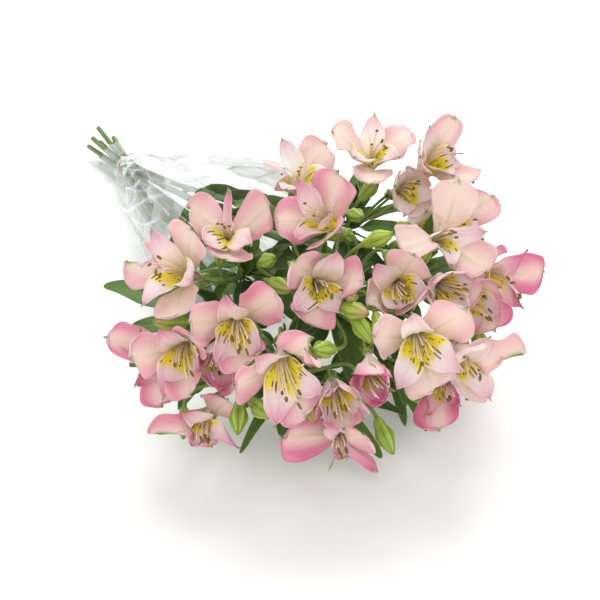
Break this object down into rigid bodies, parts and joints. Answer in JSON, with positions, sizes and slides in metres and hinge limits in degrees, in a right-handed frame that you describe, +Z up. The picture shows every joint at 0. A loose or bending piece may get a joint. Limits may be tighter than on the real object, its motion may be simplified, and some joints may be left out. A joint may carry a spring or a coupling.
{
  "type": "alstroemeria bunch",
  "caption": "Bunch of cut pink alstroemeria with buds and leaves, held in a gathered clear film sleeve, lying on its side.",
  "frame": {"origin": "bottom centre of the whole bunch's box, on the surface that it lies on", "axes": "+Y runs from the flower head to the cut ends, +Z is up and +X is to the right seen from the flower head's front"},
  "size_m": [0.2965, 0.7367, 0.1908],
  "materials": {
    "petal": "soft satin petal, pale to deep pink with a cream ground",
    "stem_green": "fresh green stem, satin, slightly waxy",
    "film": "clear glossy crumpled film",
    "elastic": "matt natural rubber"
  },
  "bodies": {
    "root": {"bloom_01": "petal", "bloom_02": "petal", "bloom_03": "petal", "bloom_04": "petal", "bloom_05": "petal", "bloom_06": "petal", "bloom_07": "petal", "bloom_08": "petal", "bloom_09": "petal", "bloom_10": "petal", "bloom_11": "petal", "bloom_12": "petal", "bloom_13": "petal", "bloom_14": "petal", "bloom_15": "petal", "bloom_16": "petal", "bloom_17": "petal", "bloom_18": "petal", "bloom_19": "petal", "bloom_20": "petal", "bloom_21": "petal", "bloom_22": "petal", "bloom_23": "petal", "bloom_24": "petal", "bloom_25": "petal", "bloom_26": "petal", "bloom_27": "petal", "bloom_28": "petal", "bloom_29": "petal", "stem_right": "stem_green", "stem_top_right": "stem_green", "stem_top": "stem_green", "stem_left_top": "stem_green", "stem_left": "stem_green", "stem_low_left": "stem_green", "stem_low_right": "stem_green", "stem_middle": "stem_green", "sleeve": "film", "band": "elastic"}
  },
  "joints": []
}
